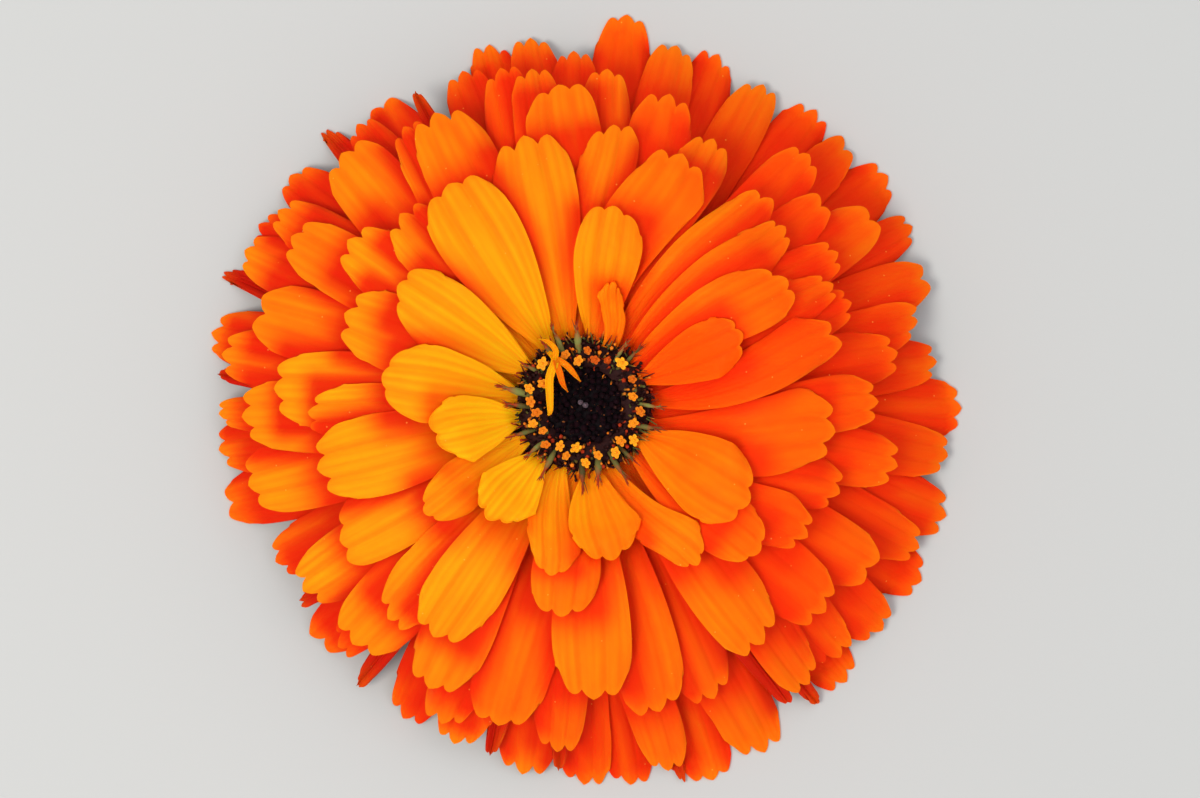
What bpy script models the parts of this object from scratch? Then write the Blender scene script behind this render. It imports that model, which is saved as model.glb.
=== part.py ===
"""A double-flowered garden marigold head as picked, lying face up on a flat surface.

A short stub of cut stem carries the receptacle. Two rows of bracts cup it from below, four whorls
of ray florets are set round its stepped flank, and the dark disc florets cover its top. The florets
of the lowest whorl droop until their tips lie on the surface.

Sizes below are in millimetres and angles in degrees, counted anticlockwise from +X as seen from
above. The meshes are made in metres, +Z up, with the origin on the surface under the middle of the
head's outline.
"""

import math
from collections import namedtuple

import bmesh
import bpy
import numpy as np

MM = 0.001

# The head's axis stands this far from the origin, because its outline isn't quite even.
AXIS_X, AXIS_Y = -0.25, -0.47

# Layers: every floret follows one of a family of nested domes, numbered from the lowest one.
CROWN_RADIUS, CROWN_HEIGHT = 15.0, 10.0  # the top of the lowest dome
ROOT_RADIUS, ROOT_DIP = 8.0, 1.6  # how far it has sunk where the outer florets are rooted
SKIRT_RADIUS, SKIRT_HEIGHT = 37.2, 0.02  # where it meets the surface
DROOP = 1.8  # how suddenly it bends down towards the skirt
ROOT_PITCH, BLADE_PITCH = 0.42, 0.80  # height from one layer to the next
FULL_PITCH_RADIUS = 18.0

FLORET_THICKNESS = 0.28
STRIP_DEPTH = 0.6  # the florets of a group are joined along this much of their roots
RISE_DEPTH = 1.2  # the stretch in which a floret climbs or sinks to its own layer
BLADE_ROWS = (9.8, 14.0, 22.0, 30.0)  # radii at which the blades are divided
WIDEST_AT = 0.75  # share of its length at which a floret is widest
TIP_DEPTH, TIP_TOOTH = 2.2, 0.7
SEAT_GAP = 0.3

Whorl = namedtuple("Whorl", "name root claw least_pitch groups florets")
Floret = namedtuple("Floret", "tip_azimuth base_azimuth reach half_width root claw layer")

# One line per floret: azimuth of the tip, reach from the axis, angle that the blade spans and,
# where the floret leans, the azimuth of its root.
OUTER_FLORETS = (
    (7.0, 35.3, 9), (14.0, 34.0, 9), (20.5, 36.5, 9), (28.5, 37.2, 7.5), (37.0, 38.0, 10),
    (44.5, 37.0, 8), (51.8, 37.5, 9), (60.8, 36.5, 8.5), (69.0, 37.5, 8.5), (75.5, 36.9, 8.5),
    (83.7, 39.2, 9), (91.7, 35.1, 8), (98.3, 36.9, 8), (104.7, 37.2, 8.5), (110.0, 35.3, 9),
    (118.3, 35.3, 4), (124.0, 36.4, 9), (129.0, 35.8, 8), (133.0, 37.6, 6), (142.0, 37.1, 9.5),
    (147.5, 35.9, 9), (151.0, 37.0, 8), (155.5, 37.0, 9), (159.7, 38.3, 5), (169.0, 37.9, 9.5),
    (172.0, 36.2, 10), (175.2, 36.6, 4), (181.5, 36.2, 6), (187.0, 36.6, 9.5), (195.5, 37.2, 10),
    (207.0, 34.3, 10), (214.5, 34.2, 7), (222.0, 35.6, 10), (224.5, 34.1, 9), (231.0, 35.9, 4),
    (240.0, 36.0, 10), (249.0, 35.9, 10), (255.0, 36.0, 5), (260.5, 37.2, 10), (266.0, 36.4, 4),
    (270.0, 37.9, 9), (277.0, 38.2, 9), (283.0, 37.3, 8), (284.3, 38.5, 4), (289.0, 39.6, 9),
    (297.5, 39.1, 10), (304.5, 36.0, 5), (308.0, 37.9, 3.5), (309.0, 35.5, 9), (313.5, 38.1, 9),
    (315.5, 35.7, 10), (323.0, 37.2, 10), (332.5, 38.0, 10), (337.0, 36.2, 9), (343.0, 37.8, 10),
    (352.0, 36.5, 9), (359.5, 37.7, 10),
)
SECOND_FLORETS = (
    (9.5, 31.3, 10.5), (33.0, 34.2, 10), (40.0, 31.0, 10), (48.0, 33.2, 10), (74.5, 31.7, 12),
    (86.0, 33.2, 9), (94.5, 31.5, 14), (99.0, 33.5, 9), (104.0, 34.2, 9), (117.0, 32.2, 14),
    (123.0, 32.6, 9), (134.0, 34.5, 13), (150.0, 33.2, 11.5), (164.0, 33.7, 13),
    (177.0, 30.4, 15), (182.0, 33.7, 13), (193.5, 34.0, 13), (213.5, 33.2, 12),
    (226.0, 32.7, 14), (241.5, 31.7, 13.5), (246.0, 34.4, 10), (255.0, 32.6, 14),
    (265.5, 34.3, 9), (284.0, 31.0, 13), (294.0, 31.6, 12), (319.5, 31.2, 13.5),
    (330.0, 32.9, 12), (349.0, 31.4, 11),
)
THIRD_FLORETS = (
    (0.7, 28.8, 11.5), (16.0, 25.7, 12.5), (21.0, 28.0, 10), (26.0, 27.0, 10),
    (31.0, 29.0, 10), (41.5, 26.2, 11), (49.5, 27.2, 10), (64.0, 29.0, 11),
    (68.5, 26.3, 17.5), (84.0, 27.5, 12.5), (102.5, 26.9, 18), (121.5, 25.2, 20),
    (134.0, 25.8, 15), (145.0, 28.1, 15), (159.0, 24.9, 18), (181.5, 26.9, 12),
    (193.5, 26.7, 18), (209.0, 27.2, 16.5), (227.5, 28.3, 12.5), (237.0, 26.9, 16),
    (272.0, 28.8, 16), (307.0, 29.2, 14.5), (329.5, 25.3, 14), (341.0, 26.4, 13),
    (354.0, 24.6, 20),
)
INNER_FLORETS = (
    (24.0, 16.9, 20), (32.0, 23.2, 17, 36), (76.0, 12.4, 12, 66), (81.0, 19.5, 20),
    (147.5, 21.4, 20), (172.0, 19.7, 23), (191.0, 15.1, 26), (214.0, 18.6, 16, 210),
    (230.0, 14.5, 26), (259.0, 16.8, 18, 249), (264.0, 20.6, 19), (281.0, 15.3, 27, 276),
    (306.0, 19.0, 15, 291), (320.0, 22.2, 17), (329.5, 18.6, 26),
)
WHORLS = (
    Whorl("outer_ray_florets", 8.0, 0.27, 6.0, 14, OUTER_FLORETS),
    Whorl("second_ray_florets", 7.3, 0.45, 9.5, 12, SECOND_FLORETS),
    Whorl("third_ray_florets", 6.7, 0.48, 11.0, 12, THIRD_FLORETS),
    Whorl("inner_ray_floret", 6.1, 0.48, 12.5, 15, INNER_FLORETS),
)

# Below the florets.
STEM_RADIUS, STEM_HEIGHT, STEM_RIBS = 1.9, 3.65, 9
BRACTS_PER_ROW = 13
BRACT_THICKNESS = 0.3
BRACT_ROW_GAP = 0.85  # from the outer row of bracts to the inner one
CUP_PROFILE = ((2.7, 3.0), (3.5, 3.1), (5.4, 3.6), (7.6, 5.0), (9.4, 7.2), (11.6, 8.5), (14.6, 8.9))
BRACT_HALF_WIDTHS = (0.5, 0.6, 1.05, 1.6, 1.85, 1.5, 0.12)

# The disc on top.
CLOSED_FLORETS, CLOSED_SPACING, CLOSED_HEIGHT = 34, 0.62, 1.0
DISC_RADIUS, DISC_PLATE = 3.9, 0.7
RING_INNER, RING_OUTER, RING_PLATE = 4.25, 5.75, 0.5
OPEN_FLORETS, OPEN_HEIGHT = 24, 1.9
PISTIL_AZIMUTHS = (2, 45, 58, 95, 112, 132, 160, 182, 201, 220, 239, 268, 284, 300, 311, 341)
PISTIL_REACH, PISTIL_RADIUS = 8.6, 0.22
GOLDEN_ANGLE = math.pi * (3 - math.sqrt(5))


def ease(share):
    share = np.clip(share, 0, 1)
    return share * share * (3 - 2 * share)


def layer_height(radius, layer):
    """Height of a layer's dome at this distance from the axis."""
    inward = max(0.0, (CROWN_RADIUS - radius) / (CROWN_RADIUS - ROOT_RADIUS))
    outward = min(1.0, max(0.0, (radius - CROWN_RADIUS) / (SKIRT_RADIUS - CROWN_RADIUS)))
    lowest = CROWN_HEIGHT - ROOT_DIP * inward**2 - (CROWN_HEIGHT - SKIRT_HEIGHT) * outward**DROOP
    growth = ease((radius - ROOT_RADIUS) / (FULL_PITCH_RADIUS - ROOT_RADIUS))
    return lowest + layer * (ROOT_PITCH + (BLADE_PITCH - ROOT_PITCH) * growth)


def azimuth_at(floret, radius):
    share = (radius - floret.root) / (floret.reach - floret.root)
    lean = (floret.tip_azimuth - floret.base_azimuth + 180) % 360 - 180
    return floret.base_azimuth + lean * float(ease(share))


def half_width_at(floret, radius):
    """A narrow claw that widens to the blade and narrows a little to the toothed end."""
    claw_end = floret.root + STRIP_DEPTH
    widest = floret.root + WIDEST_AT * (floret.reach - floret.root)
    if radius <= claw_end:
        return floret.claw
    if radius <= widest:
        swell = math.sin(math.pi / 2 * (radius - claw_end) / (widest - claw_end)) ** 1.3
        return floret.claw + (floret.half_width - floret.claw) * swell
    return floret.half_width * (1 - 0.3 * ((radius - widest) / (floret.reach - widest)) ** 2)


def spread_apart(azimuths, least):
    """Moves neighbouring roots apart until each pair is at least this many degrees apart."""
    placed = np.array(azimuths, float)
    for _ in range(400):
        gaps = np.append(placed[1:], placed[0] + 360) - placed
        push = np.maximum(0, least - gaps) / 2
        placed += np.roll(push, 1) - push
    return placed


def covers(a, b):
    """Whether two florets would lie over each other anywhere outside their roots."""
    start = max(a.root, b.root) + STRIP_DEPTH + RISE_DEPTH / 2
    for radius in np.linspace(start, min(a.reach, b.reach), 12):
        apart = (azimuth_at(a, radius) - azimuth_at(b, radius) + 180) % 360 - 180
        side = abs(math.radians(apart)) * radius
        if side < half_width_at(a, radius) + half_width_at(b, radius) + SEAT_GAP:
            return True
    return False


def layered_florets(whorl, lowest_layer):
    """The whorl's florets in order round the head. A longer one lies under the ones it meets."""
    rows = sorted(whorl.florets)
    bases = spread_apart([row[3] if len(row) > 3 else row[0] for row in rows], whorl.least_pitch)
    florets = [
        Floret(row[0], base, row[1], math.radians(row[2]) * row[1] * 0.43, whorl.root, whorl.claw, None)
        for row, base in zip(rows, bases)
    ]
    placed = []
    for index in sorted(range(len(florets)), key=lambda i: -florets[i].reach):
        under = [other.layer for other in placed if covers(florets[index], other)]
        florets[index] = florets[index]._replace(layer=max(under, default=lowest_layer - 1) + 1)
        placed.append(florets[index])
    return florets


def material(name, color, roughness):
    made = bpy.data.materials.new(name)
    made.use_nodes = True
    shader = made.node_tree.nodes["Principled BSDF"]
    shader.inputs["Base Color"].default_value = (*color, 1)
    shader.inputs["Roughness"].default_value = roughness
    shader.inputs["Metallic"].default_value = 0.0
    return made


def new_collection(name):
    made = bpy.data.collections.new(name)
    bpy.context.scene.collection.children.link(made)
    return made


def new_object(name, mesh, collection, finish):
    """An object on the head's axis, whose mesh was laid out in millimetres."""
    made = bpy.data.objects.new(name, mesh)
    collection.objects.link(made)
    for vertex in mesh.vertices:
        vertex.co *= MM
    made.location = (AXIS_X * MM, AXIS_Y * MM, 0)
    mesh.materials.append(finish)
    return made


def mesh_of(sheet, name):
    mesh = bpy.data.meshes.new(name)
    sheet.normal_update()
    sheet.to_mesh(mesh)
    sheet.free()
    return mesh


def thicken(obj, thickness, side):
    """Solidifies an open sheet towards its upper (1) or lower (-1) side."""
    solid = obj.modifiers.new("Thickness", "SOLIDIFY")
    solid.thickness = thickness * MM
    solid.offset = side


def unite(obj, other):
    """Joins a helper object to this one."""
    union = obj.modifiers.new("Union", "BOOLEAN")
    union.operation = "UNION"
    union.solver = "EXACT"
    union.object = other
    other.hide_render = True
    other.display_type = "WIRE"


def tongues(rows_of_each, closed):
    """One open sheet of side-by-side tongues, joined to each other along their first two rows.

    Each tongue is a list of rows of three points: left, middle and right, seen along the tongue.
    """
    sheet = bmesh.new()
    grids = [[[sheet.verts.new(p) for p in row] for row in rows] for rows in rows_of_each]
    for grid in grids:
        for near, far in zip(grid, grid[1:]):
            for column in (0, 1):
                sheet.faces.new((near[column], far[column], far[column + 1], near[column + 1]))
    followers = grids[1:] + grids[:1] if closed else grids[1:]
    for grid, follower in zip(grids, followers):
        sheet.faces.new((grid[0][2], grid[1][2], follower[1][0], follower[0][0]))
    return sheet


def floret_rows(floret, strip_layer):
    """The three-point rows of one floret, from its root to its toothed end."""
    strip_end = floret.root + STRIP_DEPTH
    rise_end = strip_end + RISE_DEPTH
    shoulder = floret.reach - TIP_DEPTH
    radii = [floret.root, strip_end, rise_end]
    radii += [radius for radius in BLADE_ROWS if rise_end + 1 < radius < shoulder - 1]
    radii += [shoulder, floret.reach]
    rows = []
    for radius in radii:
        azimuth = math.radians(azimuth_at(floret, radius))
        layer = strip_layer if radius <= strip_end else floret.layer
        row = []
        for side in (-1, 0, 1):
            along = radius - (TIP_TOOTH if radius == floret.reach and side else 0)
            across = side * half_width_at(floret, radius)
            x = along * math.cos(azimuth) - across * math.sin(azimuth)
            y = along * math.sin(azimuth) + across * math.cos(azimuth)
            row.append((x, y, layer_height(math.hypot(x, y), layer)))
        rows.append(row)
    return rows


def ray_florets(whorl, florets, strip_layer, collection, finish):
    """The whorl's nodes: groups of neighbouring florets, each joined along its roots."""
    for number, members in enumerate(np.array_split(np.arange(len(florets)), whorl.groups), 1):
        name = f"{whorl.name}_{number:02d}"
        sheet = tongues([floret_rows(florets[i], strip_layer) for i in members], closed=False)
        thicken(new_object(name, mesh_of(sheet, name), collection, finish), FLORET_THICKNESS, 1)


def turned(name, profile, steps, collection, finish):
    """A profile of (radius, height) points, from the top down, turned about the head's axis."""
    outline = bmesh.new()
    points = [outline.verts.new((radius, 0, height)) for radius, height in profile]
    for upper, lower in zip(points, points[1:]):
        outline.edges.new((upper, lower))
    made = new_object(name, mesh_of(outline, name), collection, finish)
    screw = made.modifiers.new("Turn", "SCREW")
    screw.steps = screw.render_steps = steps
    screw.use_merge_vertices = True
    screw.merge_threshold = 0.000002
    return made


def receptacle(strip_layers, collection, finish):
    """The stepped cone that the whorls are set on. Returns the height of its flat top."""
    steps = []
    for whorl, layer in reversed(list(zip(WHORLS, strip_layers))):
        height = layer_height(whorl.root, layer) - SEAT_GAP
        steps += [(whorl.root + STRIP_DEPTH - 0.2, height)]
    top = steps[0][1]
    profile = [(0, top), steps[0]]
    for (edge, _), (next_edge, height) in zip(steps, steps[1:]):
        profile += [(edge, height), (next_edge, height)]
    below = [(radius - 0.45, height + 0.55) for radius, height in reversed(CUP_PROFILE[1:5])]
    turned("receptacle", profile + below + [(0, below[-1][1])], 26, collection, finish)
    return top


def bract_row(name, turn, drop, collection, finish):
    """A ring of pointed bracts that cups the receptacle, lowered by drop."""
    rows_of_each = []
    for number in range(BRACTS_PER_ROW):
        azimuth = 2 * math.pi * (number + turn) / BRACTS_PER_ROW
        rows = []
        for (radius, height), half_width in zip(CUP_PROFILE, BRACT_HALF_WIDTHS):
            row = []
            for side in (-1, 0, 1):
                x = radius * math.cos(azimuth) - side * half_width * math.sin(azimuth)
                y = radius * math.sin(azimuth) + side * half_width * math.cos(azimuth)
                row.append((x, y, height - drop))
            rows.append(row)
        rows_of_each.append(rows)
    sheet = tongues(rows_of_each, closed=True)
    thicken(new_object(name, mesh_of(sheet, name), collection, finish), BRACT_THICKNESS, -1)


def stem_stub(collection, finish):
    """The ribbed stub of the cut stem, widening under the head."""
    ring = bmesh.new()
    bmesh.ops.create_cone(
        ring, cap_ends=True, segments=2 * STEM_RIBS, radius1=STEM_RADIUS, radius2=STEM_RADIUS * 1.2,
        depth=STEM_HEIGHT - SEAT_GAP,
    )
    for vertex in ring.verts:
        turn = math.atan2(vertex.co.y, vertex.co.x)
        groove = 1 - 0.04 * (1 - math.cos(STEM_RIBS * turn))
        vertex.co.x *= groove
        vertex.co.y *= groove
        vertex.co.z += (STEM_HEIGHT - SEAT_GAP) / 2
    new_object("stem_stub", mesh_of(ring, "stem_stub"), collection, finish)


def cone_between(sheet, start, end, start_radius, end_radius, segments):
    """Adds a closed cone from one point to another."""
    start, end = np.array(start, float), np.array(end, float)
    along = end - start
    length = float(np.linalg.norm(along))
    made = bmesh.ops.create_cone(
        sheet, cap_ends=True, segments=segments, radius1=start_radius, radius2=end_radius, depth=length
    )
    yaw, tilt = math.atan2(along[1], along[0]), math.acos(along[2] / length)
    for vertex in made["verts"]:
        x, y, z = vertex.co
        x, z = x * math.cos(tilt) + z * math.sin(tilt), z * math.cos(tilt) - x * math.sin(tilt)
        x, y = x * math.cos(yaw) - y * math.sin(yaw), x * math.sin(yaw) + y * math.cos(yaw)
        vertex.co = np.array((x, y, z)) + (start + end) / 2


def at(radius, azimuth, height):
    return (radius * math.cos(azimuth), radius * math.sin(azimuth), height)


def closed_disc_florets(seat, collection, helpers, finish):
    """The packed buds at the middle of the disc, set in a sunflower spiral on one plate."""
    floor = seat + SEAT_GAP
    plate = turned(
        "closed_disc_florets",
        [(0, floor + DISC_PLATE), (DISC_RADIUS, floor + DISC_PLATE), (DISC_RADIUS, floor), (0, floor)],
        24, collection, finish,
    )
    buds = bmesh.new()
    for number in range(CLOSED_FLORETS):
        radius, azimuth = CLOSED_SPACING * math.sqrt(number), number * GOLDEN_ANGLE
        low, high = floor + DISC_PLATE / 2, floor + DISC_PLATE + CLOSED_HEIGHT - 0.05 * radius
        cone_between(buds, at(radius, azimuth, low), at(radius, azimuth, high), 0.36, 0.2, 5)
    unite(plate, new_object("closed_buds_helper", mesh_of(buds, "closed_buds"), helpers, finish))


def open_disc_florets(seat, top_layer, collection, helpers, finish):
    """The ring of open florets round the buds, with the pistils of the inner florets."""
    floor = seat + SEAT_GAP
    ring = turned(
        "open_disc_florets",
        [(RING_INNER, floor), (RING_INNER, floor + RING_PLATE), (RING_OUTER, floor + RING_PLATE),
         (RING_OUTER, floor), (RING_INNER, floor)],
        26, collection, finish,
    )
    tubes = bmesh.new()
    for number in range(OPEN_FLORETS):
        azimuth = 2 * math.pi * (number + 0.5) / OPEN_FLORETS
        radius = 4.75 if number % 2 else 5.25
        foot, mouth = at(radius, azimuth, floor + 0.2), at(radius + 0.1, azimuth, floor + OPEN_HEIGHT)
        cone_between(tubes, foot, mouth, 0.2, 0.36, 5)
    unite(ring, new_object("open_tubes_helper", mesh_of(tubes, "open_tubes"), helpers, finish))
    pistils = bmesh.new()
    for degrees in PISTIL_AZIMUTHS:
        azimuth = math.radians(degrees)
        foot = at(RING_OUTER - 0.35, azimuth, floor + 0.25)
        tip = at(PISTIL_REACH, azimuth, layer_height(PISTIL_REACH, top_layer) + FLORET_THICKNESS + 0.6)
        cone_between(pistils, foot, tip, PISTIL_RADIUS, 0.06, 4)
    unite(ring, new_object("pistils_helper", mesh_of(pistils, "pistils"), helpers, finish))


def curled_disc_floret(seat, collection, finish):
    """A lone strap-like disc floret that has curled over and lies across the disc."""
    height = seat + SEAT_GAP + OPEN_HEIGHT + 0.3
    spine = [at(5.9, math.radians(121), height - 0.1), at(5.2, math.radians(122), height),
             at(4.2, math.radians(134), height), at(3.3, math.radians(160), height),
             at(3.6, math.radians(193), height - 0.2)]
    half_widths = (0.15, 0.42, 0.38, 0.4, 0.3)
    sheet = bmesh.new()
    pairs = []
    for index, (point, half_width) in enumerate(zip(spine, half_widths)):
        before, after = spine[max(0, index - 1)], spine[min(len(spine) - 1, index + 1)]
        run = np.array(after) - np.array(before)
        across = np.array((-run[1], run[0], 0)) / np.hypot(run[0], run[1]) * half_width
        pairs.append([sheet.verts.new(np.array(point) + side * across) for side in (-1, 1)])
    for near, far in zip(pairs, pairs[1:]):
        sheet.faces.new((near[0], far[0], far[1], near[1]))
    lobe = sheet.verts.new(at(2.2, math.radians(112), height - 0.1))
    sheet.faces.new((pairs[1][1], pairs[2][1], lobe))
    bmesh.ops.recalc_face_normals(sheet, faces=sheet.faces)
    thicken(new_object("curled_disc_floret", mesh_of(sheet, "curled_disc_floret"), collection, finish), 0.25, 0)


def main():
    for obj in list(bpy.data.objects):
        bpy.data.objects.remove(obj, do_unlink=True)
    head = new_collection("marigold_flower")
    helpers = new_collection("helpers")
    orange = material("floret_orange", (0.95, 0.22, 0.01), 0.5)
    green = material("bract_green", (0.16, 0.30, 0.06), 0.6)
    pale = material("receptacle_pale_green", (0.35, 0.42, 0.16), 0.7)
    dark = material("closed_floret_purple", (0.05, 0.01, 0.015), 0.6)
    golden = material("open_floret_orange", (0.85, 0.35, 0.03), 0.5)

    lowest_layer, strip_layers = 0, []
    for whorl in WHORLS:
        florets = layered_florets(whorl, lowest_layer)
        highest = max(floret.layer for floret in florets)
        strip_layers.append((lowest_layer + highest) / 2)
        print(whorl.name, len(florets), "layers", lowest_layer, "to", highest)
        ray_florets(whorl, florets, strip_layers[-1], head, orange)
        lowest_layer = highest + 1

    seat = receptacle(strip_layers, head, pale)
    bract_row("inner_bracts", 0.0, 0.0, head, green)
    bract_row("outer_bracts", 0.5, BRACT_ROW_GAP, head, green)
    stem_stub(head, green)
    closed_disc_florets(seat, head, helpers, dark)
    open_disc_florets(seat, lowest_layer, head, helpers, golden)
    curled_disc_floret(seat, head, orange)


main()
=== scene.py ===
"""Double marigold head, face up: the fine shape and the finish of every floret, bract and bud.

Each piece is laid out in millimetres about the head's axis, on the same nested domes that the frame's
florets follow, and stands for the node or nodes of the frame that it covers.
"""

import math
from collections import namedtuple

import bpy
import numpy as np
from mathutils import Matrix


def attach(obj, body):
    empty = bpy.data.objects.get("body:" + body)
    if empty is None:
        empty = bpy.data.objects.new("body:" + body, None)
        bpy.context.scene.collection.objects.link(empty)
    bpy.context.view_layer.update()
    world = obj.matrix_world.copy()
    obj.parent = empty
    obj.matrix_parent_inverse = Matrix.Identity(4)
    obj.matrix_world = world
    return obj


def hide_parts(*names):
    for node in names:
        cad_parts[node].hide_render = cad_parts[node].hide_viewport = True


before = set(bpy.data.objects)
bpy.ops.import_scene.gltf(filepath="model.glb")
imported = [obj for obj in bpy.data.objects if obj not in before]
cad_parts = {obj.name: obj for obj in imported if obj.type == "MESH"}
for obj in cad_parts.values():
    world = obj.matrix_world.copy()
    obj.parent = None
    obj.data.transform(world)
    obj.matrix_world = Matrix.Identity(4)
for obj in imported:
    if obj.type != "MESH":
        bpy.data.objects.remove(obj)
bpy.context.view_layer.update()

MM = 0.001
AXIS_X, AXIS_Y = -0.25, -0.47

# The nested domes, as in the frame.
CROWN_RADIUS, CROWN_HEIGHT = 15.0, 10.0
ROOT_RADIUS, ROOT_DIP = 8.0, 1.6
SKIRT_RADIUS, SKIRT_HEIGHT = 37.2, 0.02
DROOP = 1.8
ROOT_PITCH, BLADE_PITCH = 0.42, 0.80
FULL_PITCH_RADIUS = 18.0
STRIP_DEPTH, RISE_DEPTH, WIDEST_AT, SEAT_GAP = 0.6, 1.2, 0.75, 0.3
HALF_SPAN, BLADE_SWELL, END_NARROWING = 0.43, 1.3, 0.3

Whorl = namedtuple("Whorl", "name root claw least_pitch groups slot florets")
Floret = namedtuple("Floret", "tip_azimuth base_azimuth reach half_width root claw layer")

# One entry per floret: azimuth of the tip, reach from the axis, angle that the blade spans and,
# where the floret leans, the azimuth of its root.
OUTER_FLORETS = (
    (7.0, 35.3, 9), (14.0, 34.0, 9), (20.5, 36.5, 9), (28.5, 37.2, 7.5), (37.0, 38.0, 10),
    (44.5, 37.0, 8), (51.8, 37.5, 9), (60.8, 36.5, 8.5), (69.0, 37.5, 8.5), (75.5, 36.9, 8.5),
    (83.7, 39.2, 9), (91.7, 35.1, 8), (98.3, 36.9, 8), (104.7, 37.2, 8.5), (110.0, 35.3, 9),
    (118.3, 35.3, 4), (124.0, 36.4, 9), (129.0, 35.8, 8), (133.0, 37.6, 6), (142.0, 37.1, 9.5),
    (147.5, 35.9, 9), (151.0, 37.0, 8), (155.5, 37.0, 9), (159.7, 38.3, 5), (169.0, 37.9, 9.5),
    (172.0, 36.2, 10), (175.2, 36.6, 4), (181.5, 36.2, 6), (187.0, 36.6, 9.5), (195.5, 37.2, 10),
    (207.0, 34.3, 10), (214.5, 34.2, 7), (222.0, 35.6, 10), (224.5, 34.1, 9), (231.0, 35.9, 4),
    (240.0, 36.0, 10), (249.0, 35.9, 10), (255.0, 36.0, 5), (260.5, 37.2, 10), (266.0, 36.4, 4),
    (270.0, 37.9, 9), (277.0, 38.2, 9), (283.0, 37.3, 8), (284.3, 38.5, 4), (289.0, 39.6, 9),
    (297.5, 39.1, 10), (304.5, 36.0, 5), (308.0, 37.9, 3.5), (309.0, 35.5, 9), (313.5, 38.1, 9),
    (315.5, 35.7, 10), (323.0, 37.2, 10), (332.5, 38.0, 10), (337.0, 36.2, 9), (343.0, 37.8, 10),
    (352.0, 36.5, 9), (359.5, 37.7, 10),
)
SECOND_FLORETS = (
    (9.5, 31.3, 10.5), (33.0, 34.2, 10), (40.0, 31.0, 10), (48.0, 33.2, 10), (74.5, 31.7, 12),
    (86.0, 33.2, 9), (94.5, 31.5, 14), (99.0, 33.5, 9), (104.0, 34.2, 9), (117.0, 32.2, 14),
    (123.0, 32.6, 9), (134.0, 34.5, 13), (150.0, 33.2, 11.5), (164.0, 33.7, 13),
    (177.0, 30.4, 15), (182.0, 33.7, 13), (193.5, 34.0, 13), (213.5, 33.2, 12),
    (226.0, 32.7, 14), (241.5, 31.7, 13.5), (246.0, 34.4, 10), (255.0, 32.6, 14),
    (265.5, 34.3, 9), (284.0, 31.0, 13), (294.0, 31.6, 12), (319.5, 31.2, 13.5),
    (330.0, 32.9, 12), (349.0, 31.4, 11),
)
THIRD_FLORETS = (
    (0.7, 28.8, 11.5), (16.0, 25.7, 12.5), (21.0, 28.0, 10), (26.0, 27.0, 10),
    (31.0, 29.0, 10), (41.5, 26.2, 11), (49.5, 27.2, 10), (64.0, 29.0, 11),
    (68.5, 26.3, 17.5), (84.0, 27.5, 12.5), (102.5, 26.9, 18), (121.5, 25.2, 20),
    (134.0, 25.8, 15), (145.0, 28.1, 15), (159.0, 24.9, 18), (181.5, 26.9, 12),
    (193.5, 26.7, 18), (209.0, 27.2, 16.5), (227.5, 28.3, 12.5), (237.0, 26.9, 16),
    (272.0, 28.8, 16), (307.0, 29.2, 14.5), (329.5, 25.3, 14), (341.0, 26.4, 13),
    (354.0, 24.6, 20),
)
INNER_FLORETS = (
    (24.0, 16.9, 20), (32.0, 23.2, 17, 36), (76.0, 12.4, 12, 66), (81.0, 19.5, 20),
    (147.5, 21.4, 20), (172.0, 19.7, 23), (191.0, 15.1, 26), (214.0, 18.6, 16, 210),
    (230.0, 14.5, 26), (259.0, 16.8, 18, 249), (264.0, 20.6, 19), (281.0, 15.3, 27, 276),
    (306.0, 19.0, 15, 291), (320.0, 22.2, 17), (329.5, 18.6, 26),
)
WHORLS = (
    Whorl("outer_ray_florets", 8.0, 0.27, 6.0, 14, "outer_floret", OUTER_FLORETS),
    Whorl("second_ray_florets", 7.3, 0.45, 9.5, 12, "middle_floret", SECOND_FLORETS),
    Whorl("third_ray_florets", 6.7, 0.48, 11.0, 12, "middle_floret", THIRD_FLORETS),
    Whorl("inner_ray_floret", 6.1, 0.48, 12.5, 15, "inner_floret", INNER_FLORETS),
)
FOLDED_TIPS = (118.3, 133.0, 159.7, 175.2, 214.5, 231.0, 255.0, 266.0, 284.3, 304.5, 308.0)

# The fine florets. Breadths are shares of the frame's.
FLORET_THICKNESS = 0.2
BLADE_BREADTH, CLAW_BREADTH, FINE_SWELL = 1.12, 1.6, 0.88
LENGTH_CELLS, WIDTH_CELLS, DENSER_AT_END = 36, 28, 0.85
SHORT_FLORET = 24.0
LEAST_HEIGHT = 0.03

# Where the tissue is golden (partly painted light on one side), where it is painted as sunlit, and where
# shade is painted under its neighbours.
PETAL_MARKS = ("across", "along", "shade", "sunny", "tucked", "folded", "outward", "core")
PAINTED_SUNLIGHT_AZIMUTH, CORE_PAINTED_LIGHT_AZIMUTH = 178.0, 200.0
CORE_RADIUS, CORE_FADE = 9.0, 9.0
OUTWARD_RADIUS, OUTWARD_FADE = 12.0, 25.0
PAINTED_SHADE_SPREAD, PAINTED_SHADE_PER_LAYER, PAINTED_SHADE_BEYOND_END = 1.1, 0.5, 0.8


SPREADING_ROUNDS, SAMPLES_ALONG = 400, 12


def ease(share):
    share = np.clip(share, 0, 1)
    return share * share * (3 - 2 * share)


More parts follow.
